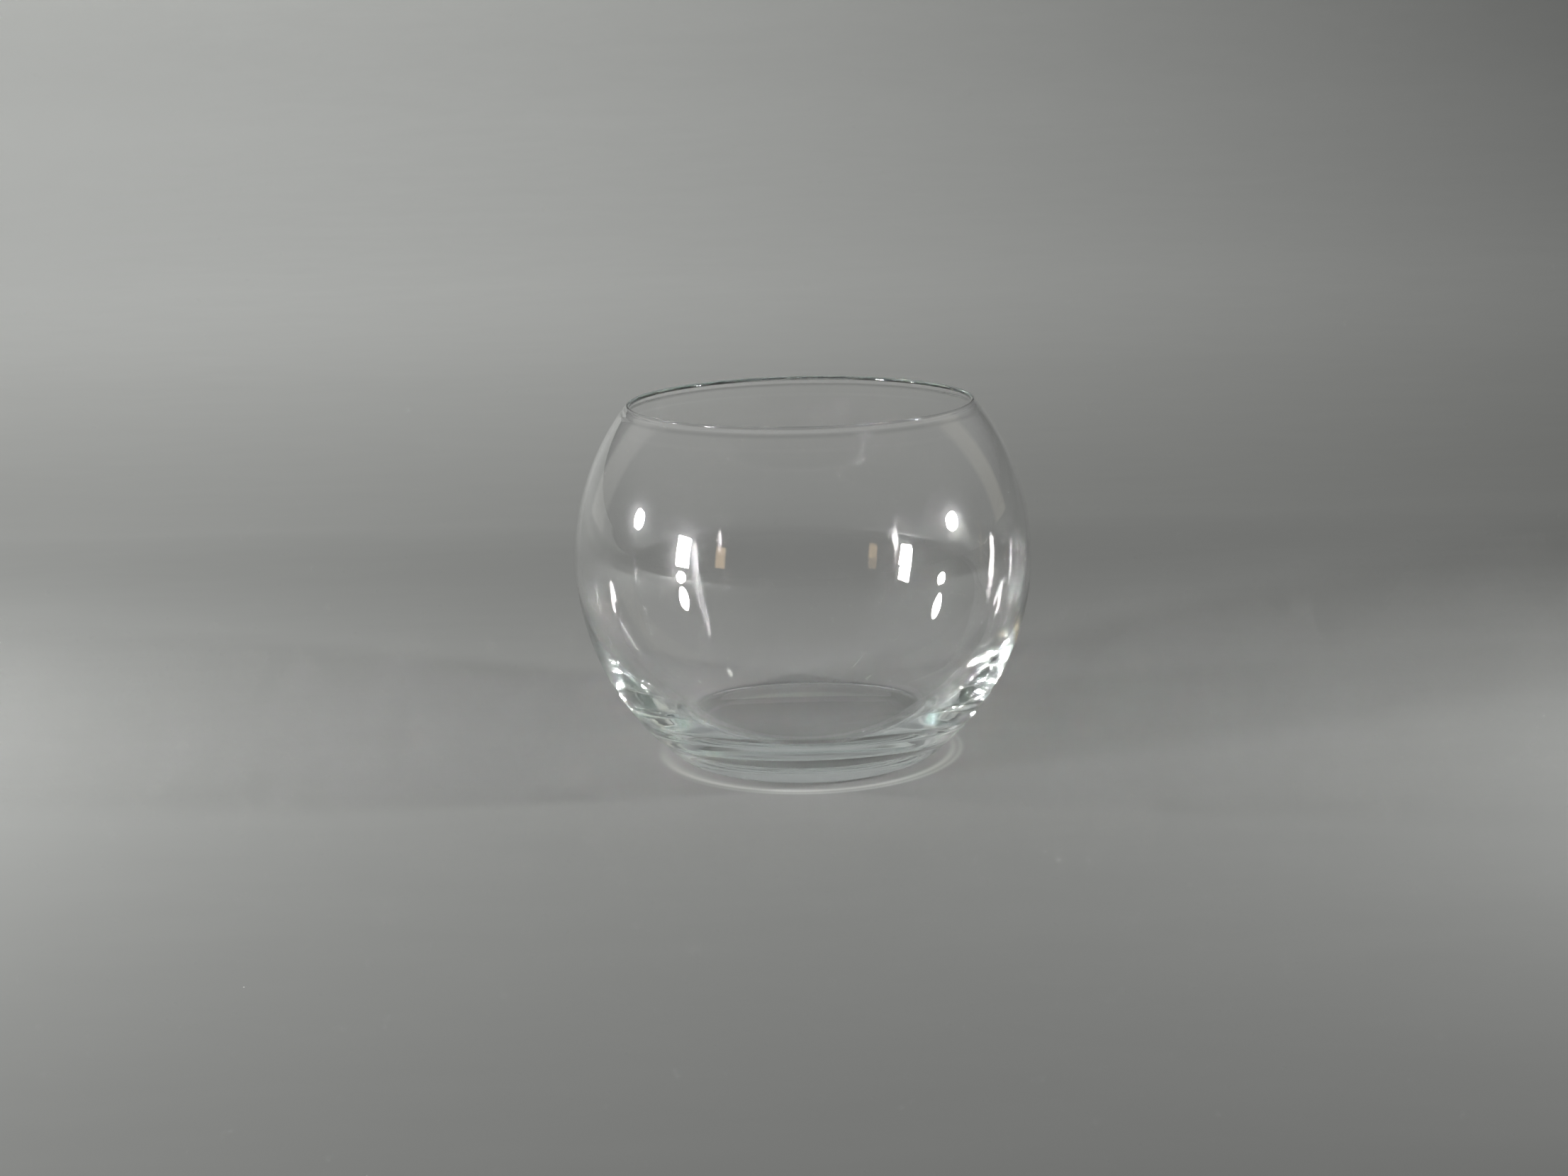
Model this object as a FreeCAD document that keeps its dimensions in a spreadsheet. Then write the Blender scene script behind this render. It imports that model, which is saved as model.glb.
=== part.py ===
import FreeCAD, Part
import os
import Sketcher

# Rose bowl vase of clear glass, blown in one piece. Lengths are in millimetres.
# Z is up, the table is at Z = 0 and the axis of the bowl is the Z axis.
# The section of the glass is drawn in the XZ plane, with X across and Z up, and turned round Z.

# Driving sizes: name, value, what it measures
SIZES = [
    ("body_diameter", 150.0, "greatest width, over the outside"),
    ("equator_height", 66.0, "height of the greatest width above the table"),
    ("bowl_height", 117.4, "height of the top of the rim above the table"),
    ("mouth_diameter", 113.8, "width over the outside of the rim's round"),
    ("rim_thickness", 1.6, "diameter of the fire-polished round of the rim"),
    ("wall_thickness", 1.4, "wall at the greatest width"),
    ("base_thickness", 8.0, "glass between the flat inner floor and the table"),
    ("floor_diameter", 82.0, "width of the inner floor where the side meets it, before rounding"),
    ("floor_rounding", 32.0, "rounding between the inner floor and the inner side"),
    ("foot_diameter", 85.6, "width where the side meets the table plane, before rounding"),
    ("heel_rounding", 8.5, "rounding between the side and the flat underside"),
]
size = {name: value for name, value, meaning in SIZES}

# Ends of a line or arc in a sketch, and its centre
START, END, CENTRE = 1, 2, 3
# The sketch's own origin point
ORIGIN = -1

document = FreeCAD.newDocument("rose_bowl_vase")


def add_sizes_sheet():
    """Puts the driving sizes into a sheet, one named cell a row."""
    sheet = document.addObject("Spreadsheet::Sheet", "Sizes")
    for row, (name, value, meaning) in enumerate(SIZES, start=1):
        sheet.set("A%d" % row, name)
        sheet.set("B%d" % row, str(value))
        sheet.set("C%d" % row, meaning)
        sheet.setAlias("B%d" % row, name)
    document.recompute()


def add_section_sketch(body):
    """A sketch on the body's own XZ plane: its x runs across and its y runs up."""
    plane = next(item for item in body.Origin.OriginFeatures if item.Role == "XZ_Plane")
    sketch = body.newObject("Sketcher::SketchObject", "WallSection")
    sketch.AttachmentSupport = [(plane, "")]
    sketch.MapMode = "FlatFace"
    return sketch


def line(sketch, start, end):
    """Draws a line from start to end, each (across, up), and gives its number."""
    return sketch.addGeometry(Part.LineSegment(FreeCAD.Vector(*start, 0), FreeCAD.Vector(*end, 0)))


def arc(sketch, start, through, end):
    """Draws an arc anticlockwise from start through a point to end, and gives its number."""
    points = [FreeCAD.Vector(*place, 0) for place in (start, through, end)]
    return sketch.addGeometry(Part.Arc(*points))


def rule(sketch, *words):
    """Adds one geometric constraint."""
    return sketch.addConstraint(Sketcher.Constraint(*words))


def measure(sketch, name, formula, *words):
    """Adds one dimension that the sheet drives: formula is in the sheet's names."""
    index = rule(sketch, *words, float(sketch.evalExpression(formula)))
    sketch.renameConstraint(index, name)
    sketch.setExpression("Constraints." + name, formula)


def side_middle(widest, end):
    """Draft place half-way up or down a round side: it has drawn in by a quarter of the whole."""
    across = widest[0] - (widest[0] - end[0]) / 4
    return across, (widest[1] + end[1]) / 2


def add_wall_section(body):
    """The closed section of the glass from the axis to the rim and back down inside."""
    sketch = add_section_sketch(body)
    half_body = size["body_diameter"] / 2
    half_mouth = size["mouth_diameter"] / 2
    half_rim = size["rim_thickness"] / 2
    rim_level = size["bowl_height"] - half_rim

    foot = (size["foot_diameter"] / 2, 0)
    widest = (half_body, size["equator_height"])
    widest_inside = (half_body - size["wall_thickness"], size["equator_height"])
    rim_outside = (half_mouth, rim_level)
    rim_top = (half_mouth - half_rim, rim_level + half_rim)
    rim_inside = (half_mouth - 2 * half_rim, rim_level)
    floor_corner = (size["floor_diameter"] / 2, size["base_thickness"])
    floor_centre = (0, size["base_thickness"])

    base_line = line(sketch, (0, 0), foot)
    outer_low = arc(sketch, foot, side_middle(widest, foot), widest)
    outer_high = arc(sketch, widest, side_middle(widest, rim_outside), rim_outside)
    rim = arc(sketch, rim_outside, rim_top, rim_inside)
    inner_high = arc(sketch, widest_inside, side_middle(widest_inside, rim_inside), rim_inside)
    inner_low = arc(sketch, floor_corner, side_middle(widest_inside, floor_corner), widest_inside)
    floor_line = line(sketch, floor_centre, floor_corner)
    axis_line = line(sketch, floor_centre, (0, 0))

    # The outline closes, from the axis round the outside, over the rim and down the inside
    rule(sketch, "Coincident", base_line, START, ORIGIN, START)
    rule(sketch, "Coincident", base_line, END, outer_low, START)
    rule(sketch, "Coincident", outer_low, END, outer_high, START)
    rule(sketch, "Tangent", outer_high, END, rim, START)
    rule(sketch, "Tangent", rim, END, inner_high, END)
    rule(sketch, "Coincident", inner_high, START, inner_low, END)
    rule(sketch, "Coincident", inner_low, START, floor_line, END)
    rule(sketch, "Coincident", floor_line, START, axis_line, START)
    rule(sketch, "Coincident", axis_line, END, ORIGIN, START)
    rule(sketch, "Horizontal", base_line)
    rule(sketch, "Horizontal", floor_line)
    rule(sketch, "Vertical", axis_line)

    # The four sides are centred at the equator's height, so they run smoothly through it
    rule(sketch, "Horizontal", inner_high, START, outer_high, START)
    for side in (outer_low, outer_high, inner_high, inner_low):
        rule(sketch, "Horizontal", side, CENTRE, outer_high, START)

    from_origin = (ORIGIN, START)
    measure(sketch, "HalfBody", "Sizes.body_diameter / 2", "DistanceX", *from_origin, outer_low, END)
    measure(sketch, "Equator", "Sizes.equator_height", "DistanceY", *from_origin, outer_low, END)
    measure(sketch, "HalfFoot", "Sizes.foot_diameter / 2", "DistanceX", *from_origin, outer_low, START)
    measure(sketch, "Wall", "Sizes.wall_thickness", "DistanceX", inner_low, END, outer_low, END)
    measure(sketch, "HalfFloor", "Sizes.floor_diameter / 2", "DistanceX", *from_origin, inner_low, START)
    measure(sketch, "Base", "Sizes.base_thickness", "DistanceY", *from_origin, floor_line, START)
    measure(sketch, "RimRadius", "Sizes.rim_thickness / 2", "Radius", rim)
    measure(sketch, "RimAcross", "(Sizes.mouth_diameter - Sizes.rim_thickness) / 2",
            "DistanceX", *from_origin, rim, CENTRE)
    measure(sketch, "RimUp", "Sizes.bowl_height - Sizes.rim_thickness / 2",
            "DistanceY", *from_origin, rim, CENTRE)
    return sketch


def add_wall(body):
    """Turns the section a full turn round the Z axis."""
    wall = body.newObject("PartDesign::Revolution", "Wall")
    wall.Profile = add_wall_section(body)
    wall.ReferenceAxis = (wall.Profile[0], ["V_Axis"])
    wall.Angle = 360
    document.recompute()
    return wall


def ring_edge(shape, diameter, height):
    """Names the round edge of a shape that has this diameter and height."""

    def misfit(edge):
        centre_height = (edge.BoundBox.ZMin + edge.BoundBox.ZMax) / 2
        return abs(edge.BoundBox.XLength - diameter) + abs(centre_height - height)

    nearest = min(range(len(shape.Edges)), key=lambda index: misfit(shape.Edges[index]))
    return "Edge%d" % (nearest + 1)


def round_edge(body, name, base, diameter, height, radius_name):
    """Rounds one round edge of the newest feature by a size from the sheet."""
    fillet = body.newObject("PartDesign::Fillet", name)
    fillet.Base = (base, [ring_edge(base.Shape, diameter, height)])
    fillet.setExpression("Radius", "Sizes." + radius_name)
    document.recompute()
    return fillet


def add_glass_bowl():
    """The whole vase: a turned wall whose inner floor and heel are rounded."""
    body = document.addObject("PartDesign::Body", "glass_bowl")
    body.Label = "glass_bowl"
    wall = add_wall(body)
    inside = round_edge(body, "FloorRounding", wall, size["floor_diameter"], size["base_thickness"],
                        "floor_rounding")
    round_edge(body, "HeelRounding", inside, size["foot_diameter"], 0, "heel_rounding")
    body.Placement = FreeCAD.Placement()
    return body


def check_document(bodies):
    """Stops before anything is written if an object has failed or a shape is not a solid."""
    for item in document.Objects:
        if "Invalid" in item.State or "Error" in item.State:
            raise RuntimeError("%s has failed: %s" % (item.Name, item.State))
    for body in bodies:
        if body.Shape.isNull() or not body.Shape.isValid() or len(body.Shape.Solids) != 1:
            raise RuntimeError("%s is not one valid solid" % body.Label)


add_sizes_sheet()
bodies = [add_glass_bowl()]
document.recompute()
check_document(bodies)
os.makedirs("parts", exist_ok=True)
for body in bodies:
    body.Shape.exportStep(os.path.join("parts", body.Label + ".step"))
    box = body.Shape.BoundBox
    print("%s: %.2f x %.2f x %.2f mm, %.1f ml of glass"
          % (body.Label, box.XLength, box.YLength, box.ZLength, body.Shape.Volume / 1000))
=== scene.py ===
import bpy
import math
from mathutils import Matrix, Vector, noise


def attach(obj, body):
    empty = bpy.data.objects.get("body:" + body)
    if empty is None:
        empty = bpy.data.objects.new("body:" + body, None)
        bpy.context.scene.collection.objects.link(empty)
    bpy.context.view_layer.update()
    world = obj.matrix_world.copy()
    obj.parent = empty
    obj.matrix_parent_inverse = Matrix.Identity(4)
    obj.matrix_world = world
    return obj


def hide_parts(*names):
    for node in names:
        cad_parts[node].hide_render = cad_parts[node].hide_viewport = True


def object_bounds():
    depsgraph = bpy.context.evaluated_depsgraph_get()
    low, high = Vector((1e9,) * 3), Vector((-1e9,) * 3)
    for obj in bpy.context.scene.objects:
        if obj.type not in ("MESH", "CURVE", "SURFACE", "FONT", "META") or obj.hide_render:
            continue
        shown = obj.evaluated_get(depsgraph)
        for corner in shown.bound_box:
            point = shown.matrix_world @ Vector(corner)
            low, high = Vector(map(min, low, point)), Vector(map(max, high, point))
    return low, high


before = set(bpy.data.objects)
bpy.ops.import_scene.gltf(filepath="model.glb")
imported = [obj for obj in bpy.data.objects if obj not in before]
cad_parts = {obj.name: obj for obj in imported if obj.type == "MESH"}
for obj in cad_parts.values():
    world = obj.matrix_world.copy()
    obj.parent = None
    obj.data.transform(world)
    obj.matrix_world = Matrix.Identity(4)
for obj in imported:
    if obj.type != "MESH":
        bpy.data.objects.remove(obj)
cad_low, cad_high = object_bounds()

# Sizes of the bowl, in metres. The outside comes from the frame, the section from these.
BODY_RADIUS = (cad_high.x - cad_low.x) / 2
BOWL_HEIGHT = cad_high.z - cad_low.z
EQUATOR_HEIGHT = 0.0660
MOUTH_RADIUS = 0.0569
RIM_THICKNESS = 0.0016
WALL_THICKNESS = 0.0014
BASE_THICKNESS = 0.0080
FLOOR_RADIUS = 0.0410
FLOOR_ROUNDING = 0.0320
FOOT_RADIUS = 0.0428
HEEL_ROUNDING = 0.0085

# The slight neck under the fire-polished bead of the rim: how deep each side draws in, how far
# below the middle of the bead, and half its width
NECK_DEPTH = 0.00010
NECK_DROP = 0.0014
NECK_HALF_WIDTH = 0.0006

# How much the inside is drawn back below the widest ring at most, and the level where that runs out
EASE_DEPTH = 0.00040
EASE_LOW = 0.012

# How finely the section and the turn are divided: the length of a step along the section, the finer
# one within reach of the rim, the steps round the rim and the steps in a full turn
SECTION_STEP = 0.0006
NECK_STEP = 0.00025
NECK_REACH = 0.0045
RIM_STEPS = 14
TURN_STEPS = 512
# Points of the section that are nearer than this are taken as one
SAME_POINT = SECTION_STEP / 100

# Waviness of the blown wall: greatest depth and width of one wave on each side, the levels between
# which the outside has it, and the middle of a wave's swing from 0 to 1
INNER_WAVE_DEPTH = 0.00001
INNER_WAVE_WIDTH = 0.014
OUTER_WAVE_DEPTH = 0.00002
OUTER_WAVE_WIDTH = 0.025
WAVE_LOW = 0.004
WAVE_HIGH = 0.111
WAVE_MIDDLE = 0.5

# Glass: the green of its depth, and the faint haze on the skin that softens its highlights
GLASS_IOR = 1.52
GLASS_TINT = (0.76, 0.94, 0.88, 1.0)
GLASS_DENSITY = 2.6
HAZE_WEIGHT = 0.110
HAZE_ROUGHNESS = 0.21

# Camera, as fitted to the outline in the photograph
IMAGE_WIDTH_PX = 2212
FOCAL_PX = 3300
SENSOR_WIDTH_MM = 36.0
CAMERA_DISTANCE = 0.7553
CAMERA_HEIGHT = 0.2281
CAMERA_PITCH = math.radians(12.93)
CAMERA_YAW = math.radians(-0.5)
CAMERA_ROLL = math.radians(-1.34)

# Paper sweep under and behind the bowl. Its colour carries painted light and shade: it runs over the depth
# as shares of the brightest, and falls off from left to right by the slant for each metre, between two
# limits, as the lamps' light would fall.
PAPER_COLOUR = (0.285, 0.290, 0.281)
PAPER_ROUGHNESS = 0.9
PAPER_DROP = 0.00005
PAPER_NEAREST, PAPER_FARTHEST = -0.35, 1.60
PAPER_BRIGHTEST = 2.6
PAPER_PAINTED_LIGHT_SHARES = [(-0.30, 0.28), (-0.10, 0.39), (0.02, 0.42), (0.25, 0.37), (0.39, 0.45), (0.79, 0.83),
                (1.06, 1.03), (1.38, 1.06), (1.60, 0.88)]
# Where the stops of the tone wait until they are placed
PAPER_RAMP_MIDDLE = 0.5
PAPER_PAINTED_SHADE_SLANT = 0.62
PAPER_DARKEST_SIDE, PAPER_PALEST_SIDE = 0.5, 1.5
# Arcs of light that the heel gathers on the paper: radius, half width, strength, and in degrees the
# direction, from the camera's side towards the right, and the reach to either side of it
ARCS = [
    (0.0490, 0.0012, 0.75, 10, 78),
    (0.0515, 0.0009, 0.42, 30, 68),
    (0.0476, 0.0018, 0.25, -40, 52),
]
ARC_END_POWER = 4.0
# Grain of the paper: how many streaks a metre along each axis, and how much they change the tone
GRAIN_STRETCH = (16.0, 45.0, 45.0)
GRAIN_DEPTH = 0.016
GRAIN_DETAIL = 8.0
GRAIN_ROUGHNESS = 0.65
# Where the noise texture has its middle, and how many times its usual swing is the full tone change
GRAIN_MIDDLE = 0.5
GRAIN_GAIN = 4
# Shape of the paper: half its width, its front edge, and where and how far it bends up at the back
PAPER_HALF_WIDTH = 4.0
PAPER_FRONT = -4.0
PAPER_BEND_START = 0.40
PAPER_BEND_REACH = 1.20
PAPER_BEND_RISE = 0.34
PAPER_BEND_STEPS = 32

# World: brightness level with the horizon and overhead, and the rise over which one runs into the other
WORLD_HORIZON = 0.09
WORLD_ZENITH = 0.34
WORLD_SOFTNESS = 0.55
# Lamps: name, place, width, height, radiance and shape
LAMPS = [
    ("left_box", (-0.919, -0.535, 0.197), 0.125, 0.220, 132, "RECTANGLE"),
    ("left_round", (-0.625, -0.017, 0.205), 0.060, 0.074, 160, "ELLIPSE"),
    ("right_round", (0.539, -0.120, 0.188), 0.063, 0.063, 220, "ELLIPSE"),
]
# Weak cards that the glass reflects: name, place, width, height, radiance and colour
CARDS = [
    ("left", (-0.75, 0.55, 0.50), 0.35, 0.95, 0.22, (1.0, 0.98, 0.92)),
    ("right", (0.85, 0.45, 0.50), 0.25, 0.85, 0.26, (1.0, 0.93, 0.76)),
    ("warm", (-0.66, -0.79, 0.20), 0.085, 0.160, 2.8, (1.0, 0.72, 0.42)),
]
# How often light bounces in the glass, and between matt things
GLASS_BOUNCES = 64
PAPER_BOUNCES = 4


def side_radius(width, end_width, height):
    """Radius of the arc that leaves the greatest width upright and reaches end_width in this height."""
    inset = width - end_width
    return (height * height + inset * inset) / (2 * inset)


def arc_points(centre, radius, start, end, step):
    """Points along an arc, from the start angle to the end angle, both included."""
    count = max(2, math.ceil(abs(end - start) * radius / step))
    angles = [start + (end - start) * index / count for index in range(count + 1)]
    return [(centre[0] + radius * math.cos(a), centre[1] + radius * math.sin(a)) for a in angles]


def line_points(start, end, step):
    """Points along a line, both ends included."""
    count = max(2, math.ceil(math.dist(start, end) / step))
    shares = [index / count for index in range(count + 1)]
    return [(start[0] + (end[0] - start[0]) * k, start[1] + (end[1] - start[1]) * k) for k in shares]


def angle_from(centre, place):
    """Angle of a place seen from a centre."""
    return math.atan2(place[1] - centre[1], place[0] - centre[0])


def outer_section():
    """Half section of the outside, from the axis under the base over the heel to the widest ring."""
    side = side_radius(BODY_RADIUS, FOOT_RADIUS, EQUATOR_HEIGHT)
    side_centre = (BODY_RADIUS - side, EQUATOR_HEIGHT)
    reach = math.sqrt((side - HEEL_ROUNDING) ** 2 - (EQUATOR_HEIGHT - HEEL_ROUNDING) ** 2)
    heel_centre = (side_centre[0] + reach, HEEL_ROUNDING)
    heel_turn = angle_from(side_centre, heel_centre)

    points = line_points((0, 0), (heel_centre[0], 0), SECTION_STEP)
    points += arc_points(heel_centre, HEEL_ROUNDING, -math.pi / 2, heel_turn, SECTION_STEP / 2)
    points += arc_points(side_centre, side, heel_turn, 0, SECTION_STEP)
    return points


def rim_section():
    """The sides above the widest ring and the round of the rim between them, tangent to both."""
    half = RIM_THICKNESS / 2
    rim_centre = (MOUTH_RADIUS - half, BOWL_HEIGHT - half)
    rise = rim_centre[1] - EQUATOR_HEIGHT

    def side_to_rim(width, offset):
        """Centre and radius of the arc from the widest ring that meets the rim's round smoothly."""
        inset = width - rim_centre[0]
        radius = (rise ** 2 + inset ** 2 - offset ** 2) / (2 * (inset + offset))
        return (width - radius, EQUATOR_HEIGHT), radius

    out_centre, out_radius = side_to_rim(BODY_RADIUS, -half)
    in_centre, in_radius = side_to_rim(BODY_RADIUS - WALL_THICKNESS, half)
    out_turn = angle_from(out_centre, rim_centre)
    in_turn = angle_from(in_centre, rim_centre)
    out_neck = out_turn - NECK_REACH / out_radius
    in_neck = in_turn - NECK_REACH / in_radius
    outer = arc_points(out_centre, out_radius, 0, out_neck, SECTION_STEP)
    outer += arc_points(out_centre, out_radius, out_neck, out_turn, NECK_STEP)
    rim = arc_points(rim_centre, half, out_turn, in_turn + math.pi, math.pi * half / RIM_STEPS)
    inner = arc_points(in_centre, in_radius, in_turn, in_neck, NECK_STEP)
    inner += arc_points(in_centre, in_radius, in_neck, 0, SECTION_STEP)
    return outer, rim, inner


def inner_section():
    """Half section of the hollow, from the widest ring down to the axis on the flat inner floor."""
    width = BODY_RADIUS - WALL_THICKNESS
    side = side_radius(width, FLOOR_RADIUS, EQUATOR_HEIGHT - BASE_THICKNESS)
    side_centre = (width - side, EQUATOR_HEIGHT)
    round_level = BASE_THICKNESS + FLOOR_ROUNDING
    reach = math.sqrt((side - FLOOR_ROUNDING) ** 2 - (EQUATOR_HEIGHT - round_level) ** 2)
    round_centre = (side_centre[0] + reach, round_level)
    round_turn = angle_from(side_centre, round_centre)

    points = arc_points(side_centre, side, 0, round_turn, SECTION_STEP)
    points += arc_points(round_centre, FLOOR_ROUNDING, round_turn, -math.pi / 2, SECTION_STEP)
    points += line_points((round_centre[0], BASE_THICKNESS), (0, BASE_THICKNESS), SECTION_STEP)
    return points


def whole_section():
    """Every point of the half section in order, each with True where it lies on the hollow."""
    outer, rim, inner_high = rim_section()
    runs = [(outer_section(), False), (outer, False), (rim, False),
            (inner_high, True), (inner_section(), True)]
    points = []
    for run, inside in runs:
        for place in run:
            if not points or math.dist(points[-1][0], place) > SAME_POINT:
                points.append((place, inside))
    return points


def wave(place, width):
    """A smooth bumpy value between about 0 and 1 at a place in space."""
    return WAVE_MIDDLE * (1 + noise.noise(Vector(place) / width))


def make_bowl():
    """The glass as one closed mesh, turned round the axis, with the blown wall's slight waviness."""
    section = whole_section()
    ring_points = section[1:-1]
    vertices = [(0, 0, section[0][0][1])]
    count = len(ring_points)
    for step in range(TURN_STEPS):
        turn = 2 * math.pi * step / TURN_STEPS
        for index, ((across, up), inside) in enumerate(ring_points):
            place = (across * math.cos(turn), across * math.sin(turn), up)
            vertices.append(place)
    vertices.append((0, 0, section[-1][0][1]))
    top = len(vertices) - 1

    def number(step, index):
        """Number of the vertex at a step of the turn and a place in the section."""
        return 1 + (step % TURN_STEPS) * count + index

    faces = []
    for step in range(TURN_STEPS):
        faces.append((0, number(step + 1, 0), number(step, 0)))
        for index in range(count - 1):
            faces.append((number(step, index), number(step + 1, index),
                          number(step + 1, index + 1), number(step, index + 1)))
        faces.append((top, number(step, count - 1), number(step + 1, count - 1)))
    mesh = bpy.data.meshes.new("rose_bowl")
    mesh.from_pydata(vertices, [], faces)
    mesh.validate()
    mesh.polygons.foreach_set("use_smooth", [True] * len(mesh.polygons))
    mesh.update()

    # The skin is pushed along its normal: into the glass at the neck and where the inside is drawn
    # back, and a little by the waves
    bead_level = BOWL_HEIGHT - RIM_THICKNESS / 2
    normals = [vertex.normal.copy() for vertex in mesh.vertices]
    for step in range(TURN_STEPS):
        for index, ((across, up), inside) in enumerate(ring_points):
            vertex = mesh.vertices[number(step, index)]
            off_neck = (bead_level - up - NECK_DROP) / NECK_HALF_WIDTH
            push = -NECK_DEPTH * math.exp(-off_neck ** 2) if up < bead_level else 0.0
            if inside and EASE_LOW < up < EQUATOR_HEIGHT:
                share = (up - EASE_LOW) / (EQUATOR_HEIGHT - EASE_LOW)
                push -= EASE_DEPTH * math.sin(math.pi * share) ** 2
            if inside:
                low = max(0.0, (EQUATOR_HEIGHT - up) / EQUATOR_HEIGHT)
                push += INNER_WAVE_DEPTH * low * (wave(vertex.co, INNER_WAVE_WIDTH) - WAVE_MIDDLE)
            elif WAVE_LOW < up < WAVE_HIGH:
                push -= OUTER_WAVE_DEPTH * wave(vertex.co, OUTER_WAVE_WIDTH)
            vertex.co += normals[number(step, index)] * push
    mesh.update()
    bowl = bpy.data.objects.new("rose_bowl", mesh)
    bpy.context.scene.collection.objects.link(bowl)
    return bowl


def make_glass():
    """Clear glass whose green comes from its depth, with a faint haze on its skin."""
    material = bpy.data.materials.new("clear_glass")
    material.use_nodes = True
    nodes, links = material.node_tree.nodes, material.node_tree.links
    nodes.clear()
    surface = nodes.new("ShaderNodeBsdfPrincipled")
    surface.inputs["Base Color"].default_value = (1, 1, 1, 1)
    surface.inputs["Roughness"].default_value = 0.0
    surface.inputs["IOR"].default_value = GLASS_IOR
    surface.inputs["Transmission Weight"].default_value = 1.0
    surface.inputs["Coat Weight"].default_value = HAZE_WEIGHT
    surface.inputs["Coat Roughness"].default_value = HAZE_ROUGHNESS
    volume = nodes.new("ShaderNodeVolumeAbsorption")
    volume.inputs["Color"].default_value = GLASS_TINT
    volume.inputs["Density"].default_value = GLASS_DENSITY
    output = nodes.new("ShaderNodeOutputMaterial")
    links.new(surface.outputs["BSDF"], output.inputs["Surface"])
    links.new(volume.outputs["Volume"], output.inputs["Volume"])
    return material


def make_paper_material():
    """Matt grey paper with painted light and shade over its depth and across, arcs of light round the foot
    and a faint grain.
    """
    material = bpy.data.materials.new("grey_paper")
    material.use_nodes = True
    surface = material.node_tree.nodes["Principled BSDF"]
    surface.inputs["Roughness"].default_value = PAPER_ROUGHNESS
    surface.inputs["Specular IOR Level"].default_value = 0.0
    nodes, links = material.node_tree.nodes, material.node_tree.links

    def math_node(operation, first, second=0.0):
        """Adds one Math node on two numbers or sockets, and gives its result."""
        node = nodes.new("ShaderNodeMath")
        node.operation = operation
        for socket, value in zip(node.inputs, (first, second)):
            if isinstance(value, (int, float)):
                socket.default_value = value
            else:
                links.new(value, socket)
        return node.outputs[0]

    def fading(value):
        """One where the value is nothing, falling away as it grows."""
        return math_node("POWER", math.e, math_node("MULTIPLY", value, -1.0))

    place = nodes.new("ShaderNodeTexCoord").outputs["Object"]
    split = nodes.new("ShaderNodeSeparateXYZ")
    links.new(place, split.inputs[0])
    across, back = split.outputs["X"], split.outputs["Y"]

    # Painted light and shade: the paper is a little darker behind the bowl and paler far back, and paler
    # on the left
    far = nodes.new("ShaderNodeMapRange")
    far.inputs["From Min"].default_value = PAPER_NEAREST
    far.inputs["From Max"].default_value = PAPER_FARTHEST
    links.new(back, far.inputs["Value"])
    ramp = nodes.new("ShaderNodeValToRGB")
    ramp.color_ramp.interpolation = "B_SPLINE"
    while len(ramp.color_ramp.elements) < len(PAPER_PAINTED_LIGHT_SHARES):
        ramp.color_ramp.elements.new(PAPER_RAMP_MIDDLE)
    for element, (at, share) in zip(ramp.color_ramp.elements, PAPER_PAINTED_LIGHT_SHARES):
        element.position = (at - PAPER_NEAREST) / (PAPER_FARTHEST - PAPER_NEAREST)
        element.color = (share, share, share, 1)
    links.new(far.outputs["Result"], ramp.inputs["Fac"])
    slant = math_node("SUBTRACT", 1.0, math_node("MULTIPLY", across, PAPER_PAINTED_SHADE_SLANT))
    slant = math_node("MINIMUM", math_node("MAXIMUM", slant, PAPER_DARKEST_SIDE), PAPER_PALEST_SIDE)
    shade = math_node("MULTIPLY", math_node("MULTIPLY", ramp.outputs["Color"], PAPER_BRIGHTEST), slant)

    # The arcs of light round the foot
    radius = math_node("SQRT", math_node("ADD", math_node("MULTIPLY", across, across),
                                         math_node("MULTIPLY", back, back)))
    turn = math_node("ARCTAN2", across, math_node("MULTIPLY", back, -1.0))
    for ring, width, strength, middle, reach in ARCS:
        off = math_node("DIVIDE", math_node("SUBTRACT", radius, ring), width)
        band = fading(math_node("MULTIPLY", off, off))
        aside = math_node("DIVIDE", math_node("SUBTRACT", turn, math.radians(middle)), math.radians(reach))
        span = fading(math_node("POWER", math_node("ABSOLUTE", aside), ARC_END_POWER))
        shade = math_node("ADD", shade, math_node("MULTIPLY", math_node("MULTIPLY", band, span), strength))

    # Faint streaks of the paper's grain, along its width
    stretch = nodes.new("ShaderNodeVectorMath")
    stretch.operation = "MULTIPLY"
    stretch.inputs[1].default_value = GRAIN_STRETCH
    links.new(place, stretch.inputs[0])
    grain = nodes.new("ShaderNodeTexNoise")
    grain.inputs["Scale"].default_value = 1.0
    grain.inputs["Detail"].default_value = GRAIN_DETAIL
    grain.inputs["Roughness"].default_value = GRAIN_ROUGHNESS
    links.new(stretch.outputs[0], grain.inputs["Vector"])
    spread = math_node("MULTIPLY", math_node("SUBTRACT", grain.outputs["Fac"], GRAIN_MIDDLE),
                       GRAIN_GAIN * GRAIN_DEPTH)
    shade = math_node("MULTIPLY", shade, math_node("ADD", spread, 1.0))
    colour = nodes.new("ShaderNodeVectorMath")
    colour.operation = "SCALE"
    colour.inputs[0].default_value = PAPER_COLOUR
    links.new(shade, colour.inputs["Scale"])
    links.new(colour.outputs[0], surface.inputs["Base Color"])
    return material


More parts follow.
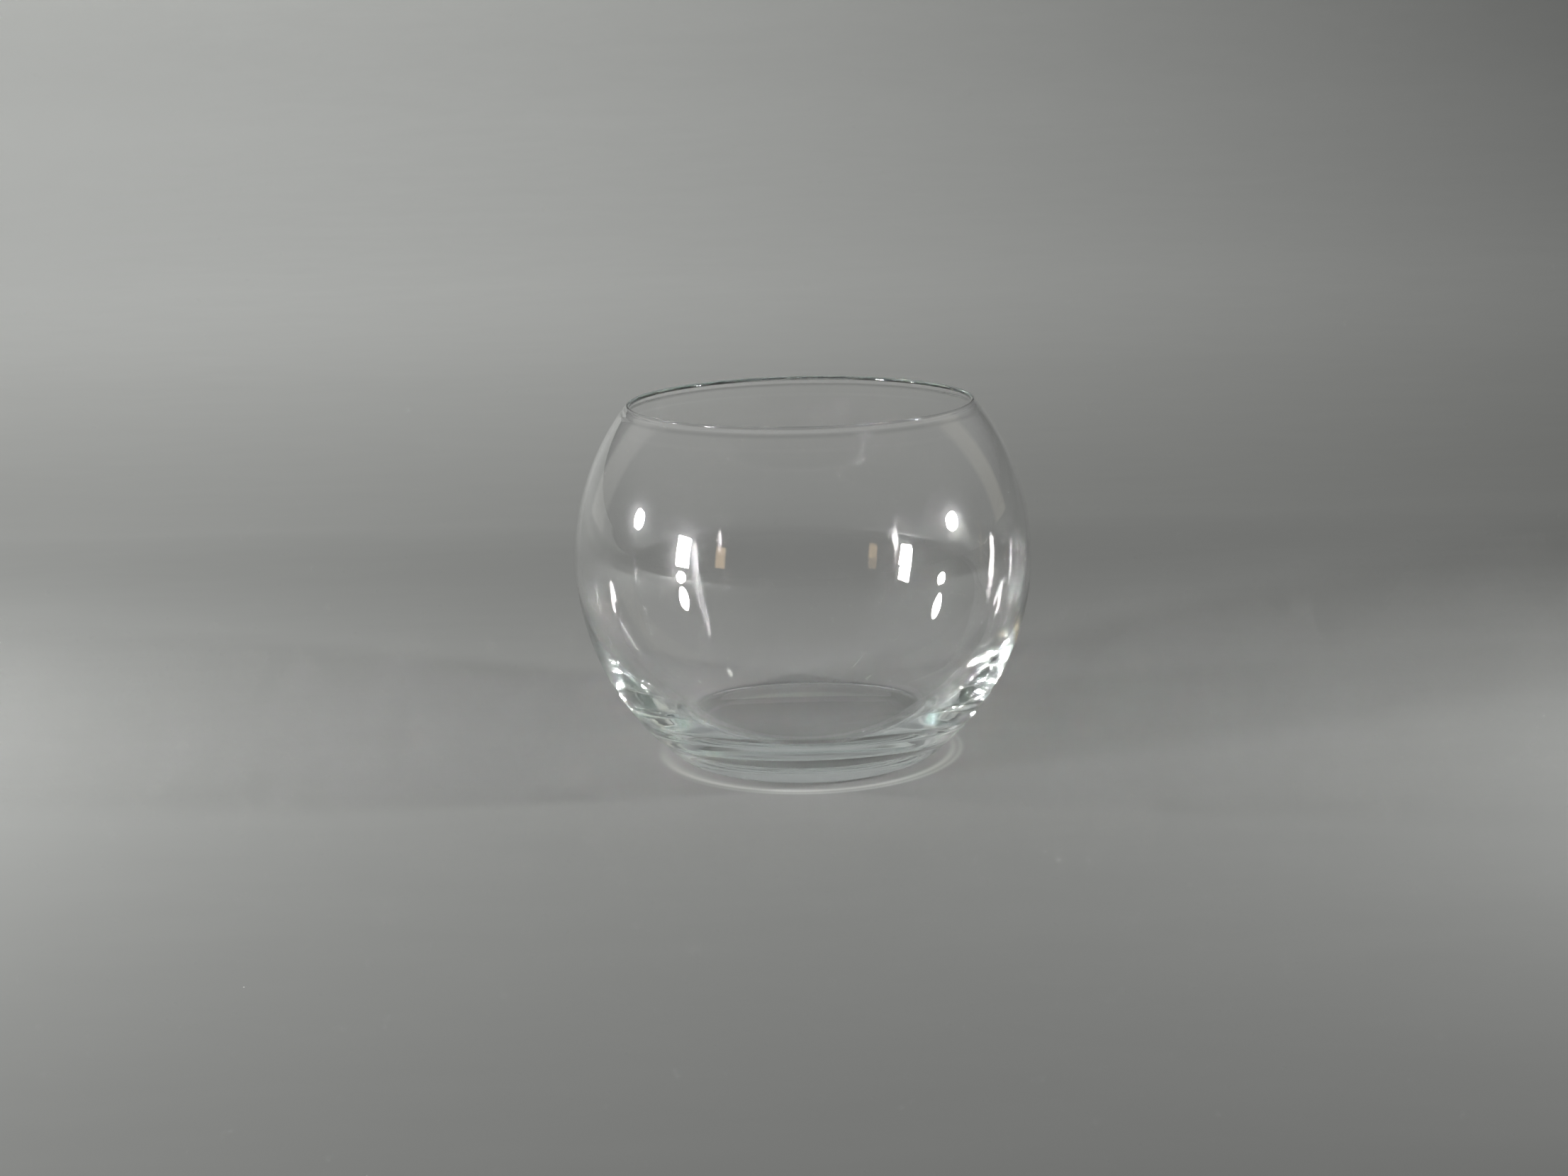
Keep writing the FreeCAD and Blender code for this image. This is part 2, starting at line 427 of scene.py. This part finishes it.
def make_paper():
    """The paper: flat under the bowl, then bending up at the back."""
    line = [(PAPER_FRONT, -PAPER_DROP)]
    for step in range(PAPER_BEND_STEPS + 1):
        turn = math.pi / 2 * step / PAPER_BEND_STEPS
        line.append((PAPER_BEND_START + PAPER_BEND_REACH * math.sin(turn),
                     PAPER_BEND_RISE * (1 - math.cos(turn)) - PAPER_DROP))
    vertices = [(side * PAPER_HALF_WIDTH, back, up) for back, up in line for side in (-1, 1)]
    faces = [(2 * k, 2 * k + 1, 2 * k + 3, 2 * k + 2) for k in range(len(line) - 1)]
    mesh = bpy.data.meshes.new("paper_sweep")
    mesh.from_pydata(vertices, [], faces)
    mesh.polygons.foreach_set("use_smooth", [True] * len(faces))
    mesh.materials.append(make_paper_material())
    paper = bpy.data.objects.new("paper_sweep", mesh)
    bpy.context.scene.collection.objects.link(paper)


def area_lamp(name, place, width, height, radiance, shape="RECTANGLE", colour=(1.0, 1.0, 1.0)):
    """Adds a lamp that faces the middle of the bowl and looks this bright from there."""
    aim = Vector((0, 0, EQUATOR_HEIGHT))
    lamp = bpy.data.lights.new(name, "AREA")
    lamp.shape = shape
    lamp.size = width
    lamp.size_y = height
    area = width * height * (math.pi / 4 if shape == "ELLIPSE" else 1)
    lamp.energy = radiance * math.pi * area
    lamp.color = colour
    item = bpy.data.objects.new(name, lamp)
    item.location = place
    item.rotation_euler = (aim - Vector(place)).to_track_quat("-Z", "Y").to_euler()
    bpy.context.scene.collection.objects.link(item)


def make_light():
    """A world that is darker level with the bowl than overhead, the lamps and the cards."""
    world = bpy.data.worlds.new("studio")
    bpy.context.scene.world = world
    world.use_nodes = True
    nodes, links = world.node_tree.nodes, world.node_tree.links
    split = nodes.new("ShaderNodeSeparateXYZ")
    links.new(nodes.new("ShaderNodeTexCoord").outputs["Generated"], split.inputs[0])
    rise = nodes.new("ShaderNodeMapRange")
    rise.interpolation_type = "SMOOTHSTEP"
    rise.inputs["From Max"].default_value = WORLD_SOFTNESS
    rise.inputs["To Min"].default_value = WORLD_HORIZON
    rise.inputs["To Max"].default_value = WORLD_ZENITH
    links.new(split.outputs["Z"], rise.inputs["Value"])
    links.new(rise.outputs["Result"], nodes["Background"].inputs["Color"])
    for name, place, width, height, radiance, shape in LAMPS:
        area_lamp("lamp_" + name, place, width, height, radiance, shape=shape)
    for name, place, width, height, radiance, colour in CARDS:
        area_lamp("card_" + name, place, width, height, radiance, colour=colour)


def make_camera():
    """The camera at the photograph's place, with its slight roll."""
    data = bpy.data.cameras.new("camera")
    data.sensor_width = SENSOR_WIDTH_MM
    data.lens = FOCAL_PX / IMAGE_WIDTH_PX * SENSOR_WIDTH_MM
    camera = bpy.data.objects.new("camera", data)
    forward = Vector((math.sin(CAMERA_YAW) * math.cos(CAMERA_PITCH),
                      math.cos(CAMERA_YAW) * math.cos(CAMERA_PITCH),
                      -math.sin(CAMERA_PITCH)))
    level = Vector((math.cos(CAMERA_YAW), -math.sin(CAMERA_YAW), 0))
    upright = level.cross(forward)
    right = level * math.cos(CAMERA_ROLL) + upright * math.sin(CAMERA_ROLL)
    up = upright * math.cos(CAMERA_ROLL) - level * math.sin(CAMERA_ROLL)
    turn = Matrix((right, up, -forward)).transposed().to_4x4()
    camera.matrix_world = Matrix.Translation((0, -CAMERA_DISTANCE, CAMERA_HEIGHT)) @ turn
    bpy.context.scene.collection.objects.link(camera)
    bpy.context.scene.camera = camera


bowl = make_bowl()
bowl.data.materials.append(make_glass())
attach(bowl, "root")
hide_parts("glass_bowl")
make_paper()
make_light()
make_camera()

scene = bpy.context.scene
scene.view_settings.view_transform = "Standard"
scene.cycles.max_bounces = GLASS_BOUNCES
scene.cycles.transmission_bounces = GLASS_BOUNCES
scene.cycles.glossy_bounces = GLASS_BOUNCES
scene.cycles.diffuse_bounces = PAPER_BOUNCES
scene.cycles.sample_clamp_indirect = 0.0
scene.cycles.blur_glossy = 0.0
scene.cycles.use_denoising = True
